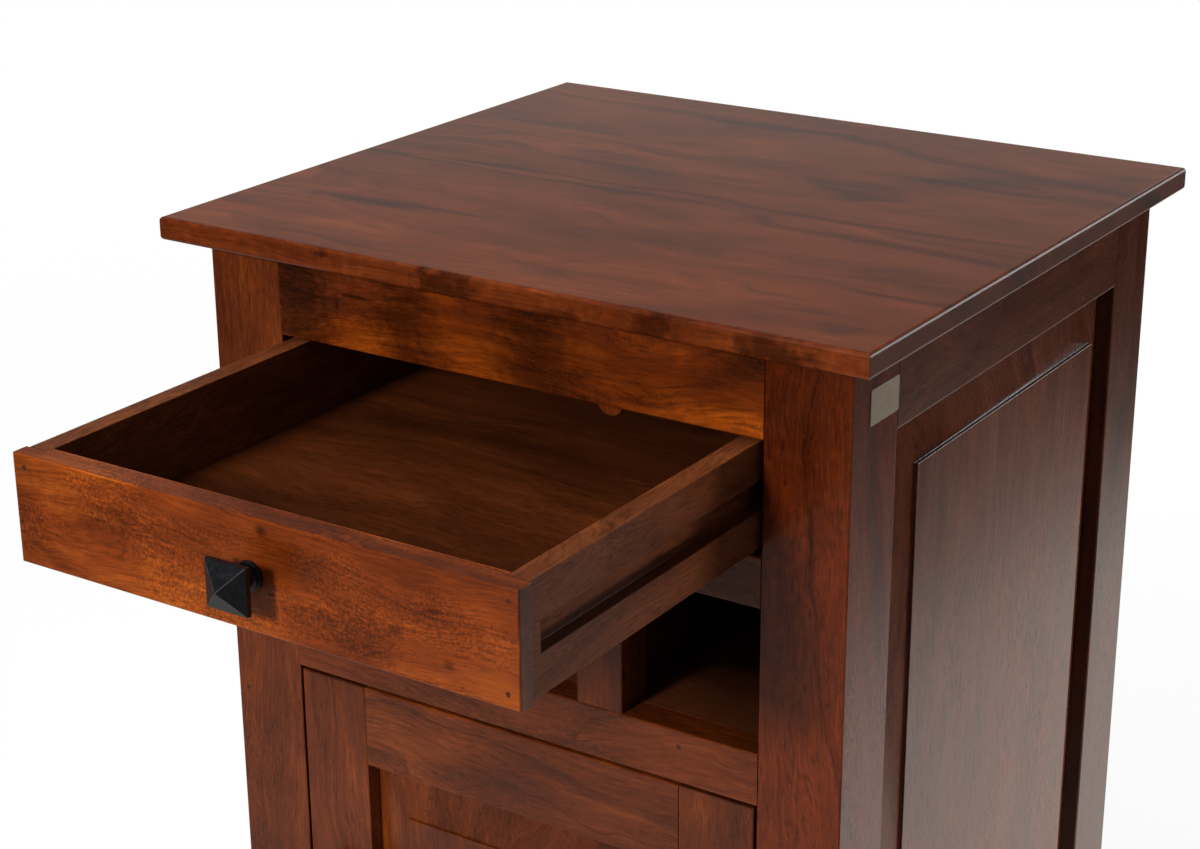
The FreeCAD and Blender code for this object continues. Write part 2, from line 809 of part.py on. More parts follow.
def carcass_parts():
    front_post = right_front_post()
    back_post = right_back_post()
    post_hinge_holes = [
        s for z in hinge_levels.values() for s in hinge_leaf_screws(z, True, screw_fit)
    ]
    runner_holes = right_runner_screws(screw_fit)
    cleat_holes = right_cleat_screws(screw_fit)
    both_cleat_holes = cleat_holes + [mirrored(h) for h in cleat_holes]
    side_top_rail = right_side_rail(side_top_rail_z).cut(cleat_holes)
    side_bottom_rail = right_side_rail(side_bottom_rail_z)
    left_front_post = mirrored(front_post.cut(runner_holes)).cut(catch_screws(screw_fit))
    panel = right_side_panel()
    stile = right_niche_stile()
    partition = right_partition()
    runner = right_runner()
    cleat = right_cleat()
    low_mortises = niche_mortises((niche_z[0] - stile_tenon_length - tenon_end_gap, niche_z[0]))
    mid_mortises = niche_mortises((niche_z[1], niche_z[1] + stile_tenon_length + tenon_end_gap))
    floor_seat = board_seat((back_rail_front, back_rail_front + board_rebate), bottom_rail_z[1])
    panel_half = panel_inner_x - board_clearance
    rail_half = rail_inner_x - board_clearance
    bearer_span = (front_rail_back, bearer_front)
    return {
        "top_board": top_board().cut(both_cleat_holes),
        "post_front_left": left_front_post,
        "post_front_right": front_post.cut(runner_holes + post_hinge_holes),
        "post_back_left": mirrored(back_post.cut(runner_holes)),
        "post_back_right": back_post.cut(runner_holes),
        "front_top_rail": front_rail(top_rail_z, False).cut(stop_screw_hole()),
        "front_mid_rail": front_rail(mid_rail_z, True).cut(mid_mortises),
        "front_low_rail": front_rail(low_rail_z, True).cut(low_mortises),
        "front_bottom_rail": front_rail(bottom_rail_z, True),
        "side_top_rail_left": mirrored(side_top_rail),
        "side_top_rail_right": side_top_rail,
        "side_bottom_rail_left": mirrored(side_bottom_rail),
        "side_bottom_rail_right": side_bottom_rail,
        "side_panel_left": mirrored(panel),
        "side_panel_right": panel,
        "back_top_rail": back_rail(side_top_rail_z),
        "back_bottom_rail": back_rail(bottom_rail_z).cut(floor_seat),
        "back_panel": back_panel(),
        "rear_mid_bearer": bearer(mid_rail_z),
        "rear_low_bearer": bearer(low_rail_z),
        "drawer_deck": inner_board(mid_rail_z[1], panel_half, bearer_span),
        "niche_floor": inner_board(low_rail_z[1], panel_half, bearer_span),
        "cabinet_floor": inner_board(bottom_rail_z[1], rail_half, (front_rail_back, back_rail_front)),
        "niche_stile_left": mirrored(stile),
        "niche_stile_right": stile,
        "niche_partition_left": mirrored(partition),
        "niche_partition_right": partition,
        "drawer_runner_left": mirrored(runner),
        "drawer_runner_right": runner,
        "runner_screws": both_sides(right_runner_screws()),
        "top_cleat_left": mirrored(cleat),
        "top_cleat_right": cleat,
        "cleat_screws": both_sides(right_cleat_screws()),
        "stop_screw": stop_screw(),
        "door_catch": catch_body(),
        "catch_screws": Part.makeCompound(catch_screws()),
    }


def both_sides(solids):
    """The same small pieces on the right and on the left, as one group."""
    return Part.makeCompound(solids + [mirrored(s) for s in solids])


def drawer_parts():
    side = right_drawer_side()
    place = knob_place_drawer()
    closed = {
        "drawer_front": drawer_front(),
        "drawer_side_left": mirrored(side),
        "drawer_side_right": side,
        "drawer_back": drawer_back(),
        "drawer_bottom": drawer_bottom(),
        "drawer_knob": knob(place),
        "drawer_knob_screw": knob_screw(place, drawer_front_thickness),
    }
    return {name: pulled(shape) for name, shape in closed.items()}


def door_parts():
    place = knob_place_door()
    stile = right_door_stile()
    hinge_holes = [s for z in hinge_levels.values() for s in hinge_leaf_screws(z, False, screw_fit)]
    low_rail, high_rail = (door_rail(z) for z in door_rail_levels())
    return {
        "door_stile_left": mirrored(stile).cut(knob_bore(place, door_thickness)),
        "door_stile_right": stile.cut(hinge_holes),
        "door_top_rail": high_rail,
        "door_bottom_rail": low_rail,
        "door_panel": door_panel(),
        "door_knob": knob(place),
        "door_knob_screw": knob_screw(place, door_thickness),
        "catch_plate": catch_plate(),
    }


def hinge_parts():
    made = {}
    for level, z in hinge_levels.items():
        made[level + "_hinge_post_leaf"] = hinge_half(z, True)
        made[level + "_hinge_door_leaf"] = hinge_half(z, False)
        made[level + "_hinge_pin"] = hinge_pin(z)
    for side, on_post in (("post", True), ("door", False)):
        screws = [s for z in hinge_levels.values() for s in hinge_leaf_screws(z, on_post)]
        made["hinge_" + side + "_screws"] = Part.makeCompound(screws)
    return made


os.makedirs("parts", exist_ok=True)
pieces = {**carcass_parts(), "stop_button": stop_button(), **drawer_parts(), **door_parts(), **hinge_parts()}
for name, shape in pieces.items():
    shape.exportStep("parts/" + name + ".step")
    print(name, len(shape.Solids), shape.isValid(), round(shape.Volume))
print(len(pieces), "nodes")
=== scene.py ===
import math
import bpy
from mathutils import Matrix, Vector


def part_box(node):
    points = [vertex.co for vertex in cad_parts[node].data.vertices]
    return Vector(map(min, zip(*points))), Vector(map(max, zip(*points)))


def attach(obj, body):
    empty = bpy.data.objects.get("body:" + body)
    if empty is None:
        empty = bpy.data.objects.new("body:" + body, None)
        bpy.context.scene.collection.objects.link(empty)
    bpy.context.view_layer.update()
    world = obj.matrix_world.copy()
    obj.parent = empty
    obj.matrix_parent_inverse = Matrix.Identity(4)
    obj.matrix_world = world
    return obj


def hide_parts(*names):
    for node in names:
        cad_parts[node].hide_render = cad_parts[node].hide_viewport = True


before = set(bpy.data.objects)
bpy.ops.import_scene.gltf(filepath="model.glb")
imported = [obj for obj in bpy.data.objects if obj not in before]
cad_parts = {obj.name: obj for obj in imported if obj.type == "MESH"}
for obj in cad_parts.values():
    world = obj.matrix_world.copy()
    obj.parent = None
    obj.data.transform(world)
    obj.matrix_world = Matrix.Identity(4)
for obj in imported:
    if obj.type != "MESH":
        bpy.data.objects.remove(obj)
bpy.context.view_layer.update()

from types import SimpleNamespace

import bmesh
import bpy
from mathutils import Matrix, Vector

# Looks of a stained solid-wood nightstand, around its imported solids. Metres, in the solids' own frame.
MM = 0.001


# Formulas as node trees

class Signal:
    """A node's output that can stand in a formula."""

    def __init__(self, graph, socket):
        self.graph = graph
        self.socket = socket

    def __add__(self, other):
        return self.graph.math("ADD", self, other)

    def __sub__(self, other):
        return self.graph.math("SUBTRACT", self, other)

    def __rsub__(self, other):
        return self.graph.math("SUBTRACT", other, self)

    def __mul__(self, other):
        return self.graph.math("MULTIPLY", self, other)

    def __truediv__(self, other):
        return self.graph.math("DIVIDE", self, other)

    __radd__ = __add__
    __rmul__ = __mul__


class Graph:
    """Short calls that build one node tree."""

    def __init__(self, tree):
        self.tree = tree

    def put(self, socket, value):
        """Links a signal to a socket, or sets a constant on it."""
        if isinstance(value, Signal):
            self.tree.links.new(value.socket, socket)
        else:
            socket.default_value = value

    def node(self, kind, inputs, **settings):
        """A new node with its settings and inputs."""
        made = self.tree.nodes.new(kind)
        for name, value in settings.items():
            setattr(made, name, value)
        for key, value in inputs.items():
            self.put(made.inputs[key], value)
        return made

    def out(self, node, output=0):
        """One of a node's outputs, as a signal."""
        return Signal(self, node.outputs[output])

    def math(self, operation, *values):
        return self.out(self.node("ShaderNodeMath", dict(enumerate(values)), operation=operation))

    def vector(self, operation, *values):
        made = self.node("ShaderNodeVectorMath", dict(enumerate(values)), operation=operation)
        return self.out(made, "Value" if operation == "LENGTH" else "Vector")

    def split(self, vector):
        made = self.node("ShaderNodeSeparateXYZ", {0: vector})
        return [self.out(made, axis) for axis in "XYZ"]

    def joined(self, x, y, z):
        return self.out(self.node("ShaderNodeCombineXYZ", {0: x, 1: y, 2: z}))

    def noise(self, place, per_metre, detail=2.0, roughness=0.5):
        """Smooth noise about 0 with so many features per metre on each axis, and the same as a vector."""
        scaled = self.vector("MULTIPLY", place, per_metre)
        inputs = {"Vector": scaled, "Scale": 1.0, "Detail": detail, "Roughness": roughness}
        made = self.node("ShaderNodeTexNoise", inputs)
        return self.out(made, 0) - 0.5, self.vector("SUBTRACT", self.out(made, 1), (0.5, 0.5, 0.5))

    def speckle(self, place, per_metre, detail=2.0):
        """Noise about 0 with as many features per metre in every direction."""
        return self.noise(place, (per_metre,) * 3, detail)[0]

    def bands(self, position, detail=2.0, roughness=0.5):
        """Uneven bands about 0 along one line."""
        inputs = {"W": position, "Scale": 1.0, "Detail": detail, "Roughness": roughness}
        return self.out(self.node("ShaderNodeTexNoise", inputs, noise_dimensions="1D")) - 0.5

    def rise(self, value, low, high):
        """0 below low, 1 above high, and a smooth step between."""
        inputs = {"Value": value, "From Min": low, "From Max": high}
        return self.out(self.node("ShaderNodeMapRange", inputs, interpolation_type="SMOOTHSTEP"))

    def mix(self, factor, low, high, blend="MIX"):
        """Two colours mixed by a factor from 0 to 1."""
        made = self.node("ShaderNodeMix", {}, data_type="RGBA", blend_type=blend)
        for index, value in ((0, factor), (6, low), (7, high)):
            self.put(made.inputs[index], value)
        return self.out(made, 2)

    def darkened(self, colour, share):
        """A colour with its light cut by a share from 0 to 1."""
        kept = 1.0 - share
        return self.mix(1.0, colour, self.joined(kept, kept, kept), "MULTIPLY")


def srgb(red, green, blue):
    """A colour written as on screen, from 0 to 255, as the linear colour that shaders take."""
    return tuple(((c / 255 + 0.055) / 1.055) ** 2.4 for c in (red, green, blue)) + (1.0,)


# Stained wood

FIGURE_INPUTS = {
    "Place": "NodeSocketVector",
    "Half": "NodeSocketVector",
    "Seed": "NodeSocketFloat",
    "Plank": "NodeSocketFloat",
    "Phase": "NodeSocketFloat",
    "Pith": "NodeSocketFloat",
    "Spots": "NodeSocketFloat",
    "Rings": "NodeSocketFloat",
    "Streaks": "NodeSocketFloat",
    "Mottle": "NodeSocketFloat",
    "Pores": "NodeSocketFloat",
    "Ripple": "NodeSocketFloat",
    "Wear": "NodeSocketFloat",
    "Dark": "NodeSocketColor",
    "Mid": "NodeSocketColor",
    "Light": "NodeSocketColor",
}
FIGURE_OUTPUTS = {"Color": "NodeSocketColor", "Roughness": "NodeSocketFloat", "Height": "NodeSocketFloat"}

# How many features of each kind a metre has: along the grain, across the board and into it
BENDS_PER_M = (4.5, 11.0, 11.0)
WOBBLES_PER_M = (38.0, 60.0, 60.0)
STREAKS_PER_M = (5.0, 190.0, 190.0)
FIBRES_PER_M = (40.0, 800.0, 800.0)
CROWDS_PER_M = (14.0, 38.0, 38.0)
PORES_PER_M = (90.0, 900.0, 900.0)
RIPPLES_PER_M = (720.0, 430.0, 430.0)
CLOUDS_PER_M = (10.0, 24.0, 24.0)
PATCHES_PER_M = (17.0, 62.0, 62.0)
SPECKS_PER_M = (120.0, 190.0, 190.0)
RING_BANDS_PER_M = 90.0
RING_LINES_PER_M = 45.0

# How far the rings stray from true circles
PITH_STRAY = 80 * MM
BEND_ACROSS = 60 * MM
BEND_INTO = 50 * MM
BEND_OUT = 15 * MM
WOBBLE = 6 * MM
RING_TAPER = 0.03

# Levels between which a noise grows from none to all of a feature
LINE_EDGE = (0.0, 0.014)
PORE_EDGE = (0.06, 0.13)
WAVE_EDGE = (-0.13, 0.13)
CROWD_EDGE = (-0.12, 0.08)
PATCH_EDGE = (0.1, 0.34)
SPECK_EDGE = (0.24, 0.34)

# How far each feature shifts the tone, and the tones between which two stains blend
RING_SHIFT = 1.2
CLOUD_SHIFT = 3.2
BOARD_SHIFT = 0.12
MIDDLE_TONE = 0.5
DARK_TO_MID = (0.05, 0.6)
MID_TO_LIGHT = (0.45, 1.0)

# The share of light that each feature takes away
FIBRES_DARKEN = 0.8
OPEN_FIBRES_DARKEN = 1.6
RIPPLES_DARKEN = 0.6
LINES_DARKEN = 0.7
PORES_DARKEN = 0.7
SPECKS_DARKEN = 0.4
SPOTS_DARKEN = 0.85
END_GRAIN_DARKENS = 0.45
GLUE_DARKENS = 0.3

# Roughness of the lacquer, and what each feature adds to it
LACQUER_ROUGHNESS = 0.24
UNEVEN_ROUGHNESS = 0.25
PORE_ROUGHNESS = 0.12
END_GRAIN_ROUGHNESS = 0.15

# Relief, and the share of it that each feature has
RELIEF = 0.05 * MM
FIBRE_HEIGHT = 0.25
RIPPLE_HEIGHT = 0.1
PORE_DEPTH = 0.4
LINE_DEPTH = 0.2
GLUE_DEPTH = 0.4

END_GRAIN_SKIN = 0.6 * MM
GLUE_LINE = 0.3 * MM
WEAR_REACH = 1.5 * MM
BARE_ARRIS = (1.5, 1.45, 1.3, 1.0)


def figure_group():
    """A node group with the figure of stained boards, at a place in metres from the piece's middle:
    along the grain, across the board's face, and into the board."""
    tree = bpy.data.node_groups.new("stained_wood", "ShaderNodeTree")
    for name, kind in FIGURE_INPUTS.items():
        tree.interface.new_socket(name=name, in_out="INPUT", socket_type=kind)
    for name, kind in FIGURE_OUTPUTS.items():
        tree.interface.new_socket(name=name, in_out="OUTPUT", socket_type=kind)
    graph = Graph(tree)
    entry = graph.node("NodeGroupInput", {})
    given = {name: graph.out(entry, name) for name in FIGURE_INPUTS}
    colour, roughness, height = figure(graph, given)
    graph.node("NodeGroupOutput", {"Color": colour, "Roughness": roughness, "Height": height})
    return tree


def board_of(graph, given):
    """Which of the glued boards a place is on: its place there, random numbers and its own wood."""
    along, across, depth = graph.split(given["Place"])
    seed = given["Seed"]
    count = (across + given["Phase"]) / given["Plank"]
    index = graph.math("FLOOR", count)
    in_board = (count - index - 0.5) * given["Plank"]
    to_edge = given["Plank"] * 0.5 - graph.math("ABSOLUTE", in_board)
    dice = graph.node("ShaderNodeTexWhiteNoise", {"Vector": graph.joined(index, seed, 0.5)})
    chance = graph.split(graph.out(dice, "Color"))
    own_along = along + chance[0] * 7.0 + seed
    own_across = in_board + chance[1] * 3.0 + seed * 0.37
    return SimpleNamespace(
        along=along,
        across=in_board,
        depth=depth,
        chance=chance,
        glue=1.0 - graph.rise(to_edge, 0.0, GLUE_LINE),
        own_along=own_along,
        own=graph.joined(own_along, own_across, depth + chance[2]),
    )


def growth_rings(graph, given, board):
    """Rings about a pith beside the board, wavy along the grain, and places that follow them."""
    chance = board.chance
    seed = given["Seed"]
    bend = graph.split(graph.noise(board.own, BENDS_PER_M)[1])
    wobble = graph.noise(board.own, WOBBLES_PER_M, 1.0)[0] * given["Rings"] * WOBBLE
    from_pith_across = board.across + (chance[1] - 0.5) * PITH_STRAY + bend[0] * BEND_ACROSS + wobble
    from_pith_depth = board.depth + given["Pith"] * (0.6 + chance[2] * 0.8) + bend[1] * BEND_INTO
    squared = from_pith_across * from_pith_across + from_pith_depth * from_pith_depth
    radius = graph.math("SQRT", squared) + board.along * RING_TAPER + bend[2] * BEND_OUT + wobble
    contour = graph.math("ABSOLUTE", graph.bands(radius * RING_LINES_PER_M + seed * 29.0, 1.0))
    return SimpleNamespace(
        bands=graph.bands(radius * RING_BANDS_PER_M + seed * 13.0, 3.0, 0.6),
        lines=1.0 - graph.rise(contour, *LINE_EDGE),
        place=graph.joined(board.own_along, radius + seed * 0.21, from_pith_across),
    )


def fine_features(graph, given, board, rings):
    """Hair streaks, fibres and pores along the rings, cross ripples, clouds of stain and dark patches."""
    crowding = graph.noise(board.own, CROWDS_PER_M)[0]
    clouds = graph.noise(board.own, CLOUDS_PER_M)[0]
    pores = graph.noise(rings.place, PORES_PER_M, 1.0)[0] + crowding * 0.35
    waves = graph.noise(rings.place, RIPPLES_PER_M, 1.0)[0]
    patches = graph.noise(board.own, PATCHES_PER_M)[0] + clouds * 0.7
    specks = graph.noise(board.own, SPECKS_PER_M, 1.0)[0] + crowding * 0.3
    return SimpleNamespace(
        crowding=crowding,
        clouds=clouds,
        streaks=graph.noise(rings.place, STREAKS_PER_M, 3.0, 0.6)[0],
        fibres=graph.noise(rings.place, FIBRES_PER_M, 2.0, 0.7)[0],
        pores=graph.rise(pores, *PORE_EDGE) * given["Pores"],
        ripples=(graph.rise(waves, *WAVE_EDGE) - 0.5) * graph.rise(crowding, *CROWD_EDGE),
        patches=graph.rise(patches, *PATCH_EDGE),
        specks=graph.rise(specks, *SPECK_EDGE),
    )


def worn_edges(graph, given, fine):
    """How worn an arris is, and where end grain shows, from the distance to the piece's own faces."""
    to_face = graph.split(graph.vector("SUBTRACT", given["Half"], graph.vector("ABSOLUTE", given["Place"])))
    low = graph.math("MINIMUM", to_face[1], to_face[2])
    high = graph.math("MAXIMUM", to_face[1], to_face[2])
    to_arris = graph.math("MAXIMUM", low, graph.math("MINIMUM", high, to_face[0]))
    reach = graph.math("MAXIMUM", fine.clouds * 1.6 + fine.crowding * 1.6 + 0.5, 0.1) * WEAR_REACH
    worn = (1.0 - graph.rise(to_arris / reach, 0.0, 1.0)) * given["Wear"]
    end_grain = 1.0 - graph.rise(to_face[0], END_GRAIN_SKIN, 2 * END_GRAIN_SKIN)
    return worn, end_grain


def stained(graph, given, board, rings, fine):
    """The stain's colour, between three tones, before the small features darken it."""
    figured = rings.bands * given["Rings"] * RING_SHIFT + fine.clouds * given["Mottle"] * CLOUD_SHIFT
    figured = figured + fine.streaks * given["Streaks"]
    tone = figured + (board.chance[0] - 0.5) * BOARD_SHIFT + MIDDLE_TONE
    colour = graph.mix(graph.rise(tone, *DARK_TO_MID), given["Dark"], given["Mid"])
    colour = graph.mix(graph.rise(tone, *MID_TO_LIGHT), colour, given["Light"])
    return graph.mix(fine.patches * given["Mottle"], colour, given["Dark"])


def figure(graph, given):
    """Colour, roughness and relief of the wood."""
    board = board_of(graph, given)
    rings = growth_rings(graph, given, board)
    fine = fine_features(graph, given, board, rings)
    worn, end_grain = worn_edges(graph, given, fine)

    colour = stained(graph, given, board, rings, fine)
    colour = graph.darkened(colour, fine.fibres * (given["Pores"] * OPEN_FIBRES_DARKEN + FIBRES_DARKEN))
    colour = graph.darkened(colour, fine.ripples * given["Ripple"] * RIPPLES_DARKEN)
    colour = graph.darkened(colour, rings.lines * given["Rings"] * LINES_DARKEN)
    colour = graph.darkened(colour, fine.pores * PORES_DARKEN)
    colour = graph.darkened(colour, fine.specks * given["Mottle"] * SPECKS_DARKEN)
    colour = graph.mix(worn, colour, graph.mix(1.0, given["Light"], BARE_ARRIS, "MULTIPLY"))
    colour = graph.darkened(colour, given["Spots"] * SPOTS_DARKEN)
    colour = graph.darkened(colour, end_grain * END_GRAIN_DARKENS)
    colour = graph.darkened(colour, board.glue * GLUE_DARKENS)

    uneven = (fine.clouds + fine.fibres + fine.streaks) * given["Pores"] * UNEVEN_ROUGHNESS
    roughness = uneven + fine.pores * PORE_ROUGHNESS + end_grain * END_GRAIN_ROUGHNESS + LACQUER_ROUGHNESS
    raised = fine.fibres * FIBRE_HEIGHT + fine.ripples * RIPPLE_HEIGHT
    height = raised - fine.pores * PORE_DEPTH - rings.lines * LINE_DEPTH - board.glue * GLUE_DEPTH
    return colour, roughness, height


def stain(dark, mid, light, rings, streaks, mottle, pores, ripple, wear):
    """Three colours on screen, and how strong each feature of the figure is."""
    return {
        "Dark": srgb(*dark),
        "Mid": srgb(*mid),
        "Light": srgb(*light),
        "Rings": rings,
        "Streaks": streaks,
        "Mottle": mottle,
        "Pores": pores,
        "Ripple": ripple,
        "Wear": wear,
    }


# Dark, middle and light colour, then the strength of rings, streaks, mottle, pores, ripple and wear
TOP_STAIN = stain((52, 19, 6), (101, 41, 12), (132, 61, 22), 0.5, 0.5, 0.25, 0.15, 0.2, 0.3)
FRAME_STAIN = stain((52, 19, 6), (87, 35, 8), (128, 59, 14), 0.35, 0.4, 0.3, 0.4, 0.4, 0.3)
DARK_STAIN = stain((54, 17, 4), (95, 34, 4), (110, 46, 8), 0.45, 0.4, 0.25, 0.5, 0.4, 0.3)
RAIL_STAIN = stain((36, 13, 4), (87, 33, 4), (152, 69, 8), 0.3, 0.4, 0.5, 0.45, 0.5, 0.3)
SIDE_STAIN = stain((50, 21, 10), (86, 40, 20), (114, 59, 33), 0.35, 0.5, 0.15, 0.4, 0.1, 0.3)
# A darker stain for the frame at the sides and back; on the side top rails, under the top's overhang, its
# darkness is painted shade
DARK_FRAME_AND_PAINTED_SHADE_STAIN = stain((42, 17, 8), (73, 34, 17), (100, 51, 29), 0.35, 0.45, 0.2, 0.4, 0.1, 0.3)
DRAWER_STAIN = stain((66, 24, 5), (112, 46, 8), (156, 76, 14), 0.35, 0.4, 0.4, 0.35, 1.0, 0.6)
INNER_STAIN = stain((42, 17, 6), (70, 31, 11), (100, 48, 19), 0.3, 0.4, 0.25, 0.4, 0.3, 0.15)
PALE_INNER_STAIN = stain((64, 31, 16), (102, 53, 27), (132, 72, 38), 0.3, 0.4, 0.25, 0.4, 0.3, 0.15)
ONE_BOARD = 10.0
LACQUERED = {"IOR": 1.5, "Coat_Weight": 0.06, "Coat_Roughness": 0.15}
OILED = {"IOR": 1.5, "Specular_IOR_Level": 0.2}
OILED_STAINS = (INNER_STAIN, PALE_INNER_STAIN)
OIL_DULLS = 0.25
BUMP_STRENGTH = 0.4

wood_figure = figure_group()


def new_material(name):
    """An empty material and the graph of its nodes."""
    material = bpy.data.materials.new(name)
    material.use_nodes = True
    material.node_tree.nodes.clear()
    return material, Graph(material.node_tree)


def finished(graph, colour, roughness, height, relief, **constants):
    """The surface shader, with relief in metres, and the material's output."""
    bump = graph.node("ShaderNodeBump", {"Strength": BUMP_STRENGTH, "Distance": relief, "Height": height})
    inputs = {"Base Color": colour, "Roughness": roughness, "Normal": graph.out(bump)}
    for name, value in constants.items():
        inputs[name.replace("_", " ")] = value
    surface = graph.node("ShaderNodeBsdfPrincipled", inputs)
    graph.node("ShaderNodeOutputMaterial", {"Surface": graph.out(surface)})


def object_place(graph):
    """Where a point is in the solids' own frame."""
    return graph.out(graph.node("ShaderNodeTexCoord", {}), "Object")


RAGS_PER_M = 150.0
RAGGEDNESS = 1.2
SPOT_EDGE = (0.2, 1.15)


def spot_mask(graph, place, spots):
    """The strength of each ragged spot in its middle, and 0 outside the spots."""
    ragged = graph.speckle(place, RAGS_PER_M)
    mask = 0.0
    for centre, size, strength in spots:
        away = graph.vector("DIVIDE", graph.vector("SUBTRACT", place, centre), size)
        spot = 1.0 - graph.rise(graph.vector("LENGTH", away) + ragged * RAGGEDNESS, *SPOT_EDGE)
        mask = graph.math("MAXIMUM", spot * strength, mask)
    return mask


def wood(node, grain, tones, seed, plank=ONE_BOARD, phase=ONE_BOARD / 2, pith=0.07, spots=()):
    """Gives a solid its own boards. The grain names the axes along, across and into them, such as xzy."""
    order = ["xyz".index(axis) for axis in grain]
    low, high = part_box(node)
    middle = (low + high) / 2
    half = (high - low) / 2
    material, graph = new_material(node)
    place = object_place(graph)
    from_middle = graph.split(graph.vector("SUBTRACT", place, middle))
    figure_node = graph.node("ShaderNodeGroup", {}, node_tree=wood_figure)
    values = {
        "Place": graph.joined(*[from_middle[axis] for axis in order]),
        "Half": [half[axis] for axis in order],
        "Seed": seed,
        "Plank": plank,
        "Phase": phase,
        "Pith": pith,
        "Spots": spot_mask(graph, place, spots),
        **tones,
    }
    for name, value in values.items():
        graph.put(figure_node.inputs[name], value)
    colour, roughness, height = [graph.out(figure_node, name) for name in FIGURE_OUTPUTS]
    if tones in OILED_STAINS:
        finished(graph, colour, roughness + OIL_DULLS, height, RELIEF, **OILED)
    else:
        finished(graph, colour, roughness, height, RELIEF, **LACQUERED)
    set_material(node, material)


def set_material(node, material):
    """Puts a material on every slot of a solid."""
    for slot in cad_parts[node].material_slots:
        slot.material = material


# Metal, plastic and filler

def black_paint(name, centre):
    """Satin black paint on a cast knob, paler along the ridges of its pyramid, as paint rubbed thin and as
    a painted highlight.
    """
    material, graph = new_material(name)
    place = graph.vector("SUBTRACT", object_place(graph), centre)
    sideways, outward, upward = graph.split(place)
    uneven = graph.speckle(place, 420.0, 3.0)
    skin = graph.speckle(place, 1500.0)
    to_ridge = graph.math("ABSOLUTE", graph.math("ABSOLUTE", sideways) - graph.math("ABSOLUTE", upward))
    on_front = 1.0 - graph.rise(outward, -12 * MM, -10 * MM)
    # Along the ridges: rubbed paint and a painted highlight
    rubbed_and_highlit = (1.0 - graph.rise(to_ridge + uneven * 1.2 * MM, 0.0, 0.5 * MM)) * on_front
    colour = graph.mix(graph.rise(uneven, -0.2, 0.2), srgb(9, 10, 12), srgb(17, 18, 20))
    colour = graph.mix(rubbed_and_highlit * 0.3, colour, srgb(96, 92, 88))
    roughness = uneven * 0.15 + skin * 0.1 + 0.34
    finished(graph, colour, roughness, skin + uneven * 2.0, 0.06 * MM, IOR=1.5)
    return material


# How many brush lines a metre of steel has, along them and across them
BRUSHED_ALONG = 60.0
BRUSHED_ACROSS = 2600.0


def plated_steel(name, colour_low, colour_high, brushed, cloudy=1.0, bare=1.0):
    """Plated steel with fine brush lines along one axis and cloudy spots, duller the less bare it is."""
    material, graph = new_material(name)
    place = object_place(graph)
    scale = [BRUSHED_ALONG if axis == brushed else BRUSHED_ACROSS for axis in "xyz"]
    brush = graph.noise(place, scale)[0]
    clouds = graph.speckle(place, 160.0, 3.0) * cloudy
    shade = clouds * 1.2 + brush * 0.8
    colour = graph.mix(graph.rise(shade, -0.3, 0.3), srgb(*colour_low), srgb(*colour_high))
    roughness = clouds * 0.3 + brush * 0.3 + 0.42
    finished(graph, colour, roughness, brush, 0.04 * MM, Metallic=bare)
    return material


def moulded_plastic(name):
    """Matt brown plastic with a fine moulded grain."""
    material, graph = new_material(name)
    place = object_place(graph)
    grain = graph.speckle(place, 1800.0, 1.0)
    clouds = graph.speckle(place, 90.0)
    colour = graph.mix(graph.rise(clouds + grain * 0.3, -0.25, 0.25), srgb(58, 32, 20), srgb(82, 48, 31))
    finished(graph, colour, grain * 0.2 + clouds * 0.1 + 0.5, grain, 0.1 * MM, IOR=1.46)
    return material


def stopping_and_gap_shade(name, low, high):
    """Stopping in nail holes, and a dark strip round the metal plate that is painted shade of the gap
    there; a little sunk and uneven, between two colours.
    """
    material, graph = new_material(name)
    place = object_place(graph)
    clouds = graph.speckle(place, 700.0, 3.0)
    colour = graph.mix(graph.rise(clouds, -0.2, 0.2), srgb(*low), srgb(*high))
    finished(graph, colour, clouds * 0.3 + 0.5, clouds, 0.15 * MM, IOR=1.48)
    return material


# Rounded edges on the solids

HARDWARE_EASE = 0.12 * MM
WOOD_EASE = 0.7 * MM


def ease_edges(node, width):
    """Softens a solid's sharp edges; coplanar triangles are joined first so that the rounding is even."""
    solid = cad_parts[node]
    weld = solid.modifiers.new("weld", "WELD")
    weld.merge_threshold = 0.002 * MM
    flat = solid.modifiers.new("flat_faces", "DECIMATE")
    flat.decimate_type = "DISSOLVE"
    flat.angle_limit = math.radians(0.5)
    bevel = solid.modifiers.new("eased_edges", "BEVEL")
    bevel.width = width
    bevel.segments = 2
    bevel.limit_method = "ANGLE"
    bevel.angle_limit = math.radians(40)
    bevel.offset_type = "WIDTH"
    bevel.loop_slide = False
    solid.modifiers.new("even_normals", "WEIGHTED_NORMAL")


# Wood on every wooden solid

# Darker spots: centre and half sizes in metres, and strength
TOP_SPOTS = [
    ((-0.165, -0.138, 0.7), (0.062, 0.009, 0.02), 0.75),
    ((-0.12, -0.13, 0.7), (0.05, 0.006, 0.02), 0.6),
    ((0.025, -0.205, 0.7), (0.022, 0.012, 0.02), 0.45),
    ((0.216, -0.207, 0.7), (0.022, 0.014, 0.02), 0.55),
    ((0.0, -0.239, 0.69), (0.9, 0.005, 0.05), 0.5),
    ((-0.118, -0.237, 0.696), (0.009, 0.02, 0.006), 0.8),
    ((-0.03, -0.238, 0.69), (0.042, 0.007, 0.02), 0.9),
    ((0.055, -0.238, 0.686), (0.03, 0.007, 0.012), 0.8),
    ((0.115, -0.238, 0.69), (0.026, 0.007, 0.02), 0.85),
    ((0.191, -0.238, 0.69), (0.042, 0.007, 0.02), 0.88),
]
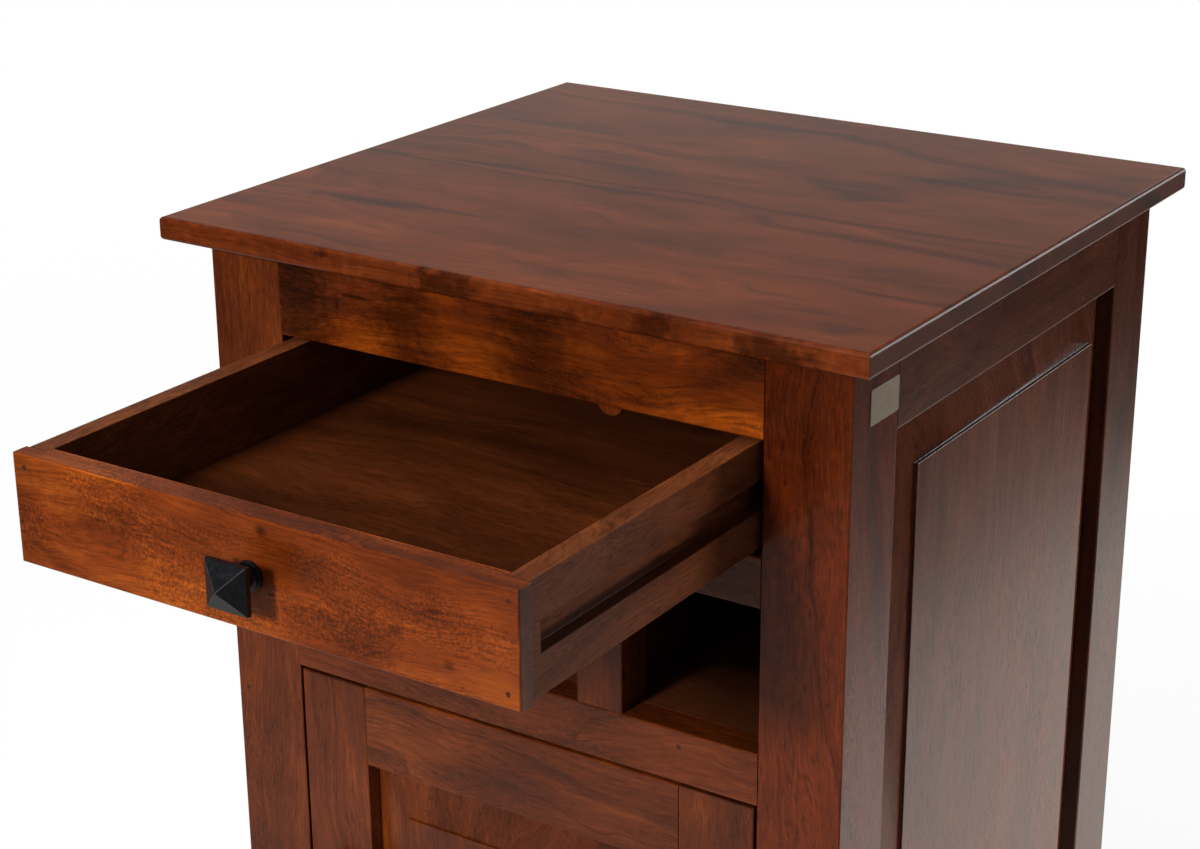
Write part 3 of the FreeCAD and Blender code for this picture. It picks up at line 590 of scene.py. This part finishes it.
RAIL_SPOTS = [
    ((-0.16, -0.214, 0.655), (0.036, 0.03, 0.07), 0.75),
    ((-0.074, -0.214, 0.66), (0.03, 0.03, 0.05), 0.65),
    ((0.02, -0.214, 0.65), (0.045, 0.03, 0.05), 0.6),
    ((-0.11, -0.214, 0.664), (0.022, 0.03, 0.0018), 0.8),
    ((-0.128, -0.214, 0.656), (0.0022, 0.03, 0.012), 0.6),
]
# The first spot on each front post makes the post darker towards its top
LEFT_POST_SPOTS = [((-0.2, -0.214, 0.68), (0.06, 0.06, 0.16), 0.25)]
RIGHT_POST_SPOTS = [
    ((0.2, -0.214, 0.68), (0.06, 0.06, 0.16), 0.55),
    ((0.1865, -0.214, 0.629), (0.0018, 0.01, 0.007), 0.8),
    ((0.1845, -0.214, 0.616), (0.0014, 0.01, 0.005), 0.7),
    ((0.189, -0.214, 0.607), (0.0022, 0.01, 0.003), 0.8),
]
SIDE_PANEL_SPOTS = [
    ((0.2278, y * MM, z * MM), (0.01, 0.0022, 0.0035), 0.6)
    for y, z in ((-116, 539), (68, 436), (0, 431), (-72, 412), (117, 437))
]
DRAWER_SPOTS = [
    ((0.009, -0.446, 0.6205), (0.0055, 0.03, 0.0045), 0.8),
    ((0.095, -0.446, 0.586), (0.006, 0.03, 0.004), 0.5),
    ((0.128, -0.446, 0.575), (0.005, 0.03, 0.004), 0.55),
    ((0.118, -0.446, 0.603), (0.007, 0.03, 0.004), 0.4),
    ((-0.11, -0.446, 0.602), (0.045, 0.03, 0.013), 0.4),
    ((-0.168, -0.446, 0.595), (0.025, 0.03, 0.05), 0.35),
    ((0.03, -0.446, 0.608), (0.035, 0.03, 0.018), 0.35),
]

wood("top_board", "xyz", TOP_STAIN, 3.1, plank=0.115, phase=0.016, pith=0.06, spots=TOP_SPOTS)
wood("post_front_left", "zxy", FRAME_STAIN, 11.0, spots=LEFT_POST_SPOTS)
wood("post_front_right", "zxy", DARK_STAIN, 17.3, spots=RIGHT_POST_SPOTS)
wood("side_panel_left", "zyx", SIDE_STAIN, 18.7, plank=0.085, phase=0.04)
wood("side_panel_right", "zyx", SIDE_STAIN, 25.0, plank=0.085, phase=0.04, spots=SIDE_PANEL_SPOTS)
for side, seed in (("left", 11.0), ("right", 17.3)):
    wood("post_back_" + side, "zyx", DARK_FRAME_AND_PAINTED_SHADE_STAIN, seed + 2.7)
    wood("side_top_rail_" + side, "yzx", DARK_FRAME_AND_PAINTED_SHADE_STAIN, seed + 4.1)
    wood("side_bottom_rail_" + side, "yzx", DARK_FRAME_AND_PAINTED_SHADE_STAIN, seed + 5.9)
    wood("niche_stile_" + side, "zxy", FRAME_STAIN, seed + 9.2)
    wood("niche_partition_" + side, "yzx", INNER_STAIN, seed + 10.4)
    wood("drawer_runner_" + side, "yzx", INNER_STAIN, seed + 12.5)
    wood("top_cleat_" + side, "yzx", INNER_STAIN, seed + 13.1)
    wood("drawer_side_" + side, "yzx", PALE_INNER_STAIN, seed + 14.8)
    wood("door_stile_" + side, "zxy", FRAME_STAIN, seed + 16.6)
wood("front_top_rail", "xzy", RAIL_STAIN, 41.3, spots=RAIL_SPOTS)
for number, level in enumerate(("mid", "low", "bottom")):
    wood("front_" + level + "_rail", "xzy", FRAME_STAIN, 43.0 + 2.3 * number)
for number, level in enumerate(("top", "bottom")):
    wood("back_" + level + "_rail", "xzy", DARK_FRAME_AND_PAINTED_SHADE_STAIN, 51.0 + 1.9 * number)
    wood("door_" + level + "_rail", "xzy", FRAME_STAIN, 55.0 + 2.1 * number)
for number, level in enumerate(("mid", "low")):
    wood("rear_" + level + "_bearer", "xzy", INNER_STAIN, 61.0 + 1.7 * number)
wood("back_panel", "zxy", SIDE_STAIN, 65.2, plank=0.11, phase=0.03)
wood("drawer_deck", "xyz", INNER_STAIN, 67.4, plank=0.12, phase=0.05)
wood("niche_floor", "xyz", PALE_INNER_STAIN, 69.9, plank=0.12, phase=0.02)
wood("cabinet_floor", "xyz", INNER_STAIN, 71.6, plank=0.12, phase=0.07)
wood("drawer_front", "xzy", DRAWER_STAIN, 73.8, spots=DRAWER_SPOTS)
wood("drawer_back", "xzy", INNER_STAIN, 76.3)
wood("drawer_bottom", "xyz", INNER_STAIN, 78.5, plank=0.2, phase=0.12)
wood("door_panel", "zxy", FRAME_STAIN, 81.1, plank=0.09, phase=0.05)
wood("stop_button", "zxy", FRAME_STAIN, 83.7)

# The low rail keeps its own edges, which its solid rounds in front
HARDWARE_WORDS = ("hinge", "screw", "knob", "catch")
ROUND_ALREADY = "front_low_rail"
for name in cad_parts:
    is_hardware = any(word in name for word in HARDWARE_WORDS)
    if name != ROUND_ALREADY:
        ease_edges(name, HARDWARE_EASE if is_hardware else WOOD_EASE)


# Metal and plastic on the solids that keep their shape

STEEL_LOW = (128, 124, 117)
STEEL_HIGH = (186, 182, 174)
for level in ("lower", "upper"):
    for piece in ("hinge_post_leaf", "hinge_door_leaf", "hinge_pin"):
        name = level + "_" + piece
        set_material(name, plated_steel(name, STEEL_LOW, STEEL_HIGH, "z"))
set_material("catch_plate", plated_steel("catch_plate", STEEL_LOW, STEEL_HIGH, "z"))
set_material("door_catch", moulded_plastic("door_catch"))


# Pieces that the solids leave to this script

def loft(shell, loops):
    """Joins rings of as many corners each by bands of faces, and closes both ends."""
    rings = [[shell.verts.new(corner) for corner in loop] for loop in loops]
    count = len(rings[0])
    for ring, following in zip(rings, rings[1:]):
        for i in range(count):
            shell.faces.new((ring[i], ring[(i + 1) % count], following[(i + 1) % count], following[i]))
    shell.faces.new(list(reversed(rings[0])))
    shell.faces.new(rings[-1])


def add_piece(name, shell, material, body):
    """Makes an object of a finished shell, which rides on a body."""
    bmesh.ops.recalc_face_normals(shell, faces=shell.faces)
    mesh = bpy.data.meshes.new(name)
    shell.to_mesh(mesh)
    shell.free()
    mesh.materials.append(material)
    piece = bpy.data.objects.new(name, mesh)
    bpy.context.scene.collection.objects.link(piece)
    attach(piece, body)
    return piece


def soften(piece, width, segments, angle):
    """Rounds a piece's edges sharper than an angle in degrees, and shades it evenly."""
    for face in piece.data.polygons:
        face.use_smooth = True
    bevel = piece.modifiers.new("eased_edges", "BEVEL")
    bevel.width = width
    bevel.segments = segments
    bevel.limit_method = "ANGLE"
    bevel.angle_limit = math.radians(angle)
    piece.modifiers.new("even_normals", "WEIGHTED_NORMAL")


def circle(centre, first, second, radius, count):
    """Corners of a circle in the plane of two directions."""
    angles = [2 * math.pi * i / count for i in range(count)]
    return [centre + radius * (math.cos(a) * first + math.sin(a) * second) for a in angles]


def square(centre, half):
    """Corners of an upright square that faces the front."""
    return [centre + Vector((half * x, 0, half * z)) for x, z in ((-1, -1), (1, -1), (1, 1), (-1, 1))]


X_WAY = Vector((1, 0, 0))
Z_WAY = Vector((0, 0, 1))
KNOB_SIDES = 40
KNOB_FOOT_RADIUS = 8.5 * MM
KNOB_NECK_RADIUS = 5.5 * MM
KNOB_NECK = 16 * MM
KNOB_RIM = 3.5 * MM
KNOB_TIP = 0.6 * MM


def make_knob(node, body):
    """A square pyramid on a rimmed plate, and a turned neck that swells into its foot."""
    low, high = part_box(node)
    face = Vector(((low.x + high.x) / 2, high.y, (low.z + high.z) / 2))
    half = (high.x - low.x) / 2
    height = high.y - low.y

    def at(out):
        return face - Vector((0, out, 0))

    # Steps of the foot and the neck, then of the plate and the pyramid: how far out, and how wide
    turned = [(0.0, 0.97), (0.4 * MM, 1.0), (2.2 * MM, 1.0), (2.8 * MM, 0.96)]
    outline = [(out, KNOB_FOOT_RADIUS * share) for out, share in turned]
    outline += [(3.3 * MM, 6.6 * MM), (4.6 * MM, 5.8 * MM), (7 * MM, KNOB_NECK_RADIUS)]
    outline += [(KNOB_NECK - 2.5 * MM, KNOB_NECK_RADIUS), (KNOB_NECK + 0.5 * MM, 7.2 * MM)]
    shell = bmesh.new()
    loft(shell, [circle(at(out), X_WAY, Z_WAY, radius, KNOB_SIDES) for out, radius in outline])
    stepped = [(KNOB_NECK, half - 0.5 * MM), (KNOB_NECK + 0.5 * MM, half), (KNOB_NECK + KNOB_RIM, half)]
    stepped += [(KNOB_NECK + KNOB_RIM + 0.4 * MM, half - 0.7 * MM), (height, KNOB_TIP)]
    loft(shell, [square(at(out), side) for out, side in stepped])
    piece = add_piece("fine_" + node, shell, black_paint("fine_" + node, face), body)
    soften(piece, 0.35 * MM, 3, 18)
    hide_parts(node)


make_knob("drawer_knob", "drawer")
make_knob("door_knob", "door")


SCREW_STEPS = 6
SCREW_PROUD = 0.06 * MM
SLOT_DEPTH = 0.5


def separate_solids(node):
    """The corners of each separate solid in a node."""
    shell = bmesh.new()
    shell.from_mesh(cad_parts[node].data)
    bmesh.ops.remove_doubles(shell, verts=shell.verts, dist=0.01 * MM)
    left = set(shell.verts)
    solids = []
    while left:
        found = [left.pop()]
        for corner in found:
            near = {edge.other_vert(corner) for edge in corner.link_edges} & left
            left -= near
            found.extend(near)
        solids.append([corner.co.copy() for corner in found])
    shell.free()
    return solids


def screw_outline(corners):
    """A screw's head centre, its direction inwards, and its radii at each level from the head."""
    low = Vector([min(c[i] for c in corners) for i in range(3)])
    high = Vector([max(c[i] for c in corners) for i in range(3)])
    axis = max(range(3), key=lambda i: high[i] - low[i])
    middle = (low + high) / 2

    def radius(corner):
        away = corner - middle
        away[axis] = 0
        return away.length

    head = max(corners, key=radius)
    inward = Vector([0, 0, 0])
    inward[axis] = 1 if head[axis] < middle[axis] else -1
    start = middle.copy()
    start[axis] = low[axis] if inward[axis] > 0 else high[axis]
    levels = {}
    for corner in corners:
        levels.setdefault(round((corner - start).dot(inward) / MM, 2), []).append(radius(corner))
    outline = []
    for level in sorted(levels):
        outline.append((level * MM, max(levels[level])))
        if max(levels[level]) - min(levels[level]) > 0.3 * MM:
            outline.append((level * MM, min(levels[level])))
    return start, inward, outline


def cross_recess(centre, first, second, arm, half_width):
    """Corners of a cross, with as many as a screw's rings have."""
    between = (arm + half_width) / 2
    quarter = [(arm, 0), (arm, half_width), (between, half_width)]
    quarter += [(half_width, half_width), (half_width, between), (half_width, arm)]
    corners = []
    for turn in range(4):
        for x, y in quarter:
            for _ in range(turn):
                x, y = -y, x
            corners.append(centre + x * first + y * second)
    return corners


def add_screw(shell, corners):
    """A round screw with a cross recess, in the place of one of the plain solids."""
    start, inward, outline = screw_outline(corners)
    first = Vector((inward.y, inward.z, inward.x))
    second = inward.cross(first)
    head = outline[0][1]
    top = start - inward * SCREW_PROUD
    floor = top + inward * head * SLOT_DEPTH
    loops = [
        cross_recess(floor, first, second, head * 0.42, head * 0.09),
        cross_recess(top - inward * head * 0.05, first, second, head * 0.58, head * 0.14),
        circle(top, first, second, head * 0.9, 4 * SCREW_STEPS),
        circle(top + inward * 0.5 * SCREW_PROUD, first, second, head, 4 * SCREW_STEPS),
    ]
    for level, radius in outline:
        loops.append(circle(start + inward * level, first, second, radius, 4 * SCREW_STEPS))
    loft(shell, loops)


def make_screws(node, body):
    """Fine screws in the place of all plain ones in a node."""
    shell = bmesh.new()
    for corners in separate_solids(node):
        add_screw(shell, corners)
    material = plated_steel("fine_" + node, STEEL_LOW, STEEL_HIGH, "x")
    piece = add_piece("fine_" + node, shell, material, body)
    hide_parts(node)


for node in ("runner_screws", "cleat_screws", "stop_screw", "catch_screws", "hinge_post_screws"):
    make_screws(node, "carcass")
make_screws("drawer_knob_screw", "drawer")
make_screws("door_knob_screw", "door")
make_screws("hinge_door_screws", "door")


PLATE_Y = (-0.1935, -0.1595)
PLATE_Z = (0.6415, 0.6625)
PLATE_PROUD = 0.5 * MM
PLATE_CORNER = 1.4 * MM
PLATE_SUNK = 0.1 * MM
# A dark strip at the plate's front and top edges, painted shade of the gap round it
GAP_SHADE_WIDTH = 0.6 * MM
GAP_SHADE_SUNK = 0.2 * MM
GAP_SHADE_RIM = 0.04 * MM
GAP_SHADE_TOP = 0.06 * MM


def upright_outline(x, y, z, corner):
    """A rectangle with round corners in a plane that faces the right."""
    corners = []
    for y_side, z_side, turn in ((1, 1, 0), (0, 1, 1), (0, 0, 2), (1, 0, 3)):
        centre = Vector((x, y[y_side] + corner * (1 - 2 * y_side), z[z_side] + corner * (1 - 2 * z_side)))
        for step in range(4):
            angle = math.pi / 2 * (turn + step / 3)
            corners.append(centre + corner * Vector((0, math.cos(angle), math.sin(angle))))
    return corners


def make_plate():
    """A bare metal plate let into the side of the right front post, with a dark strip at its front and top
    edges that is painted shade of the gap round it.
    """
    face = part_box("post_front_right")[1].x
    gap_shade_y = (PLATE_Y[0] - GAP_SHADE_WIDTH, PLATE_Y[1])
    gap_shade_z = (PLATE_Z[0], PLATE_Z[1] + GAP_SHADE_WIDTH)
    shell = bmesh.new()
    loft(shell, [
        upright_outline(face - GAP_SHADE_SUNK, gap_shade_y, gap_shade_z, PLATE_CORNER),
        upright_outline(face + GAP_SHADE_RIM, gap_shade_y, gap_shade_z, PLATE_CORNER),
        upright_outline(face + GAP_SHADE_TOP, PLATE_Y, PLATE_Z, PLATE_CORNER),
    ])
    # The dark strip paints the shade of the gap round the plate
    gap_shade_material = stopping_and_gap_shade("painted_shade_round_plate", (24, 11, 7), (46, 24, 15))
    add_piece("painted_shade_round_plate", shell, gap_shade_material, "carcass")

    def inset(span, amount):
        return (span[0] + amount, span[1] - amount)

    steps = [(-PLATE_SUNK, 0.0), (PLATE_PROUD * 0.6, 0.0)]
    steps += [(PLATE_PROUD * 0.9, 0.12 * MM), (PLATE_PROUD, 0.35 * MM)]
    shell = bmesh.new()
    loft(shell, [
        upright_outline(face + out, inset(PLATE_Y, amount), inset(PLATE_Z, amount), PLATE_CORNER - amount)
        for out, amount in steps
    ])
    nickel = plated_steel("bare_plate", (146, 130, 112), (166, 150, 132), "y", cloudy=0.4, bare=0.5)
    add_piece("bare_plate", shell, nickel, "carcass")


make_plate()

MARK_RADIUS = 1.4 * MM
MARK_CORNERS = 14
MARK_STRETCH = 1.15

# Rings of a mark, from inside the wood outwards: the place along y, and the share of the radius
MARK_STEPS = ((0.3 * MM, 1.0), (-0.03 * MM, 1.0), (-0.07 * MM, 0.8), (-0.05 * MM, 0.4))

# Places of filled nail holes in the front, x and z in millimetres
POST_MARKS = ((220.5, 606.5), (218.7, 476.7), (-221.0, 370.0))
RAIL_MARKS = ((62.9, 422.7), (61.5, 404.0), (120.2, 422.5))
DRAWER_MARKS = ((165.5, 619.6), (164.1, 568.7), (-163.0, 619.0), (-163.0, 571.0))


def make_marks(name, node, places, body):
    """Stopped nail holes in the front face of a piece, each a low uneven disc."""
    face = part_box(node)[0].y
    shell = bmesh.new()
    for number, (x, z) in enumerate(places):
        radius = MARK_RADIUS * (0.8 + 0.15 * (number % 3))
        centre = Vector((x * MM, face, z * MM))
        loft(shell, [
            circle(centre + Vector((0, out, 0)), X_WAY, Z_WAY * MARK_STRETCH, radius * share, MARK_CORNERS)
            for out, share in MARK_STEPS
        ])
    add_piece(name, shell, stopping_and_gap_shade(name, (44, 19, 11), (72, 34, 20)), body)


make_marks("carcass_nail_marks", "post_front_right", POST_MARKS + RAIL_MARKS, "carcass")
make_marks("drawer_nail_marks", "drawer_front", DRAWER_MARKS, "drawer")


# Stage: floor, light and camera

FLOOR_SIZE = 60.0
WHITE = (1.0, 1.0, 1.0, 1.0)
WARM_WHITE = (1.0, 0.97, 0.9, 1.0)
FLOOR_PALE = 0.9
FLOOR_DULL = 0.35
BACKGROUND_SHARE = 0.86
FADES_TO_WHITE = (0.8, 2.6)

# Pools of light in the floor's reflection: centre, stretch, where the edge begins and ends, brightness
FLOOR_POOLS = (
    ((0.3, 0.7, 0.0), (1.0, 0.35, 1.0), (0.3, 0.52), 0.97),
    ((-0.3, -0.5, 0.0), (1.0, 1.0, 1.0), (0.0, 1.6), 0.37),
    ((0.0, 0.0, 0.0), (1.0, 1.0, 1.0), (1.4, 2.6), 0.1),
)


def seen_rays(graph):
    """What the camera sees itself, and what reflections and clear bodies show, each 1 or 0."""
    path = graph.node("ShaderNodeLightPath", {})
    glossy = graph.out(path, "Is Glossy Ray")
    through = graph.out(path, "Is Transmission Ray")
    return graph.out(path, "Is Camera Ray"), graph.math("MAXIMUM", glossy, through)


def make_floor():
    """A pale floor that is white to the eye but for shadows, and in reflections has pools of light."""
    reach = FLOOR_SIZE / 2
    corners = [(-reach, -reach, 0), (reach, -reach, 0), (reach, reach, 0), (-reach, reach, 0)]
    mesh = bpy.data.meshes.new("floor")
    mesh.from_pydata(corners, [], [(0, 1, 2, 3)])
    floor = bpy.data.objects.new("floor", mesh)
    bpy.context.scene.collection.objects.link(floor)
    material, graph = new_material("floor")
    direct, mirrored = seen_rays(graph)
    place = object_place(graph)
    pool = 0.0
    for centre, stretch, edge, bright in FLOOR_POOLS:
        away = graph.vector("MULTIPLY", graph.vector("SUBTRACT", place, centre), stretch)
        inside = 1.0 - graph.rise(graph.vector("LENGTH", away), *edge)
        pool = graph.math("MAXIMUM", inside * bright, pool)
    far = graph.rise(graph.vector("LENGTH", place), *FADES_TO_WHITE)
    paleness = direct * (FLOOR_PALE - FLOOR_DULL) + FLOOR_DULL
    pale = graph.node("ShaderNodeBsdfDiffuse", {"Color": graph.joined(paleness, paleness, paleness)})
    brightness = graph.math("MAXIMUM", direct, mirrored * pool)
    tint = graph.mix(mirrored, WHITE, WARM_WHITE)
    white = graph.node("ShaderNodeEmission", {"Color": tint, "Strength": brightness})
    near_share = far * (1.0 - BACKGROUND_SHARE) + BACKGROUND_SHARE
    share = graph.math("MAXIMUM", direct * near_share, mirrored)
    mixed = graph.node("ShaderNodeMixShader", {0: share, 1: graph.out(pale), 2: graph.out(white)})
    graph.node("ShaderNodeOutputMaterial", {"Surface": graph.out(mixed)})
    mesh.materials.append(material)


AMBIENT = 0.15
STUDIO_ABOVE = 0.11
STUDIO_BEFORE = 0.05
FADES_UPWARD = (0.02, 0.3)
FADES_FORWARD = (-0.4, 0.3)


def make_world():
    """A white surround, which in reflections darkens upwards and to the front, and lights only a little."""
    world = bpy.data.worlds.new("studio")
    bpy.context.scene.world = world
    world.use_nodes = True
    world.node_tree.nodes.clear()
    graph = Graph(world.node_tree)
    direct, mirrored = seen_rays(graph)
    _, backward, upward = graph.split(graph.out(graph.node("ShaderNodeTexCoord", {}), "Generated"))
    above = 1.0 - graph.rise(upward, *FADES_UPWARD) * (1.0 - STUDIO_ABOVE)
    behind = graph.rise(backward, *FADES_FORWARD) * (1.0 - STUDIO_BEFORE) + STUDIO_BEFORE
    studio = above * behind
    spread = (1.0 - direct) * (1.0 - mirrored) * AMBIENT
    strength = direct + mirrored * studio + spread
    tint = graph.mix(mirrored, WHITE, WARM_WHITE)
    background = graph.node("ShaderNodeBackground", {"Color": tint, "Strength": strength})
    graph.node("ShaderNodeOutputWorld", {"Surface": graph.out(background)})


LIGHT_TARGET = Vector((0.0, -0.2, 0.45))
KEY_WAY = (-0.11, -1.0, 0.47)


def make_light(name, towards, distance, size, power, mirrored=True, spread=True):
    """A soft square lamp that looks at the nightstand, in metres and watts. Mirrored, it shows in gloss,
    and spread, it lights dull surfaces."""
    lamp = bpy.data.lights.new(name, "AREA")
    lamp.size = size
    lamp.energy = power
    light = bpy.data.objects.new(name, lamp)
    direction = Vector(towards).normalized()
    light.location = LIGHT_TARGET + direction * distance
    light.rotation_euler = direction.to_track_quat("Z", "Y").to_euler()
    light.visible_camera = False
    light.visible_glossy = mirrored
    light.visible_diffuse = spread
    bpy.context.scene.collection.objects.link(light)


CAMERA_PLACE = (0.789, -1.307, 1.109)
CAMERA_YAW = 33.5
CAMERA_PITCH = 20.58
CAMERA_ROLL = -0.4
CAMERA_LENS = 72.5
SENSOR_WIDTH = 36.0


def make_camera():
    """The camera at the photograph's viewing angle."""
    camera = bpy.data.cameras.new("camera")
    camera.lens = CAMERA_LENS
    camera.sensor_width = SENSOR_WIDTH
    camera.clip_start = 0.01
    camera.clip_end = 100.0
    holder = bpy.data.objects.new("camera", camera)
    turn = Matrix.Rotation(math.radians(CAMERA_YAW), 4, "Z")
    tilt = Matrix.Rotation(math.radians(90 - CAMERA_PITCH), 4, "X")
    roll = Matrix.Rotation(math.radians(CAMERA_ROLL), 4, "Z")
    holder.matrix_world = Matrix.Translation(CAMERA_PLACE) @ turn @ tilt @ roll
    bpy.context.scene.collection.objects.link(holder)
    bpy.context.scene.camera = holder


make_floor()
make_world()
make_light("key", KEY_WAY, distance=3.0, size=0.4, power=90.0, mirrored=False)
make_light("glint", KEY_WAY, distance=3.0, size=0.4, power=25.0, spread=False)
make_light("front_fill", (-0.15, -1.0, 0.1), distance=3.0, size=1.5, power=14.0, mirrored=False)
make_light("overhead", (-0.3, -0.2, 1.0), distance=2.6, size=1.8, power=36.0, mirrored=False)
make_light("side_fill", (1.0, 0.6, -0.38), distance=1.0, size=0.2, power=4.5, mirrored=False)
make_light("rim", (0.55, 0.8, 0.22), distance=2.5, size=0.9, power=14.0, spread=False)
make_light("back_fill", (-0.2, 1.0, 0.3), distance=3.0, size=1.5, power=55.0, mirrored=False)
make_camera()
bpy.context.scene.view_settings.view_transform = "Standard"
